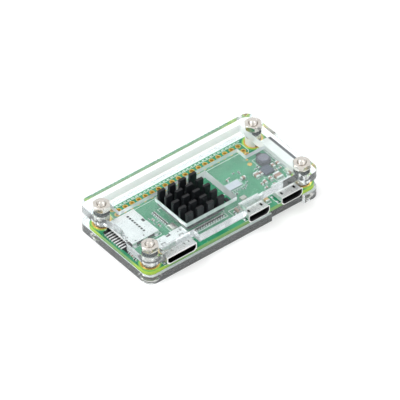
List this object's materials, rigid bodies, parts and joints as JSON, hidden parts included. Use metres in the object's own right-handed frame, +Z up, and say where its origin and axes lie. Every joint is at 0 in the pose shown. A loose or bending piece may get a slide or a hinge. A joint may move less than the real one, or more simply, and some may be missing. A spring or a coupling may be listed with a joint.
{
  "type": "single board computer",
  "caption": "Small bare single board computer with a pin-fin heat sink, bolted between two clear acrylic plates; sockets on the front edge.",
  "frame": {"origin": "middle of the footprint on the case's resting face", "axes": "+X along the long edge towards the camera socket, +Y towards the header row, +Z up out of the board's component face"},
  "size_m": [0.0654, 0.0344, 0.0133],
  "materials": {
    "clear_acrylic": "polished faces, clean cut edges",
    "clear_spacer": "clear, gloss",
    "nickel_steel": "bright nickel plate",
    "green_board": "green solder mask over glass fibre",
    "gold_plate": "gold plate",
    "black_anodised": "black anodised, satin",
    "thermal_tape": "matt",
    "chip_epoxy": "matt moulded epoxy",
    "slate_epoxy": "matt moulded epoxy",
    "module_lid": "satin",
    "ferrite": "matt pressed ferrite",
    "ferrite_pale": "satin",
    "crystal_lid": "satin",
    "fuse_body": "satin",
    "lamp_resin": "clouded resin",
    "tan_ceramic": "satin",
    "resistor_ceramic": "satin",
    "tinned_end": "bright tin",
    "stamped_steel": "bright stamped steel",
    "black_moulding": "moulded",
    "white_moulding": "moulded",
    "grey_moulding": "moulded"
  },
  "bodies": {
    "board_assembly": {"bottom_plate": "clear_acrylic", "top_plate": "clear_acrylic", "case_spacers": "clear_spacer", "case_screws": "nickel_steel", "case_nuts": "nickel_steel", "circuit_board": "green_board", "header_eyelets": "gold_plate", "spare_eyelet": "gold_plate", "mounting_rings": "gold_plate", "test_pads": "gold_plate", "processor": "chip_epoxy", "memory_package": "chip_epoxy", "heat_sink_pad": "thermal_tape", "heat_sink": "black_anodised", "hdmi_shell": "stamped_steel", "hdmi_insulator": "black_moulding", "hdmi_contacts": "gold_plate", "usb_data_shell": "stamped_steel", "usb_data_tongue": "black_moulding", "usb_data_contacts": "gold_plate", "usb_power_shell": "stamped_steel", "usb_power_tongue": "black_moulding", "usb_power_contacts": "gold_plate", "card_socket_shell": "stamped_steel", "card_socket_base": "black_moulding", "card_socket_contacts": "tinned_end", "camera_socket_base": "white_moulding", "camera_socket_contacts": "tinned_end", "wireless_module": "module_lid", "power_regulator": "slate_epoxy", "inductor_core": "ferrite", "inductor_drum": "ferrite_pale", "crystals": "crystal_lid", "input_fuse_ceramic": "fuse_body", "input_fuse_terminals": "tinned_end", "status_lamp": "lamp_resin", "antenna_capacitor": "tan_ceramic", "logic_chips": "chip_epoxy", "capacitor_ceramic": "tan_ceramic", "capacitor_terminals": "tinned_end", "bulk_capacitor_ceramic": "tan_ceramic", "bulk_capacitor_terminals": "tinned_end", "resistor_ceramic": "resistor_ceramic", "resistor_terminals": "tinned_end", "decoupling_ceramic": "tan_ceramic", "decoupling_terminals": "tinned_end"},
    "camera_latch": {"camera_socket_latch": "grey_moulding"}
  },
  "joints": [
    {"name": "latch_slide", "type": "slide", "parent": "board_assembly", "child": "camera_latch", "axis": [1, 0, 0], "range_m": [0, 0.001]}
  ]
}
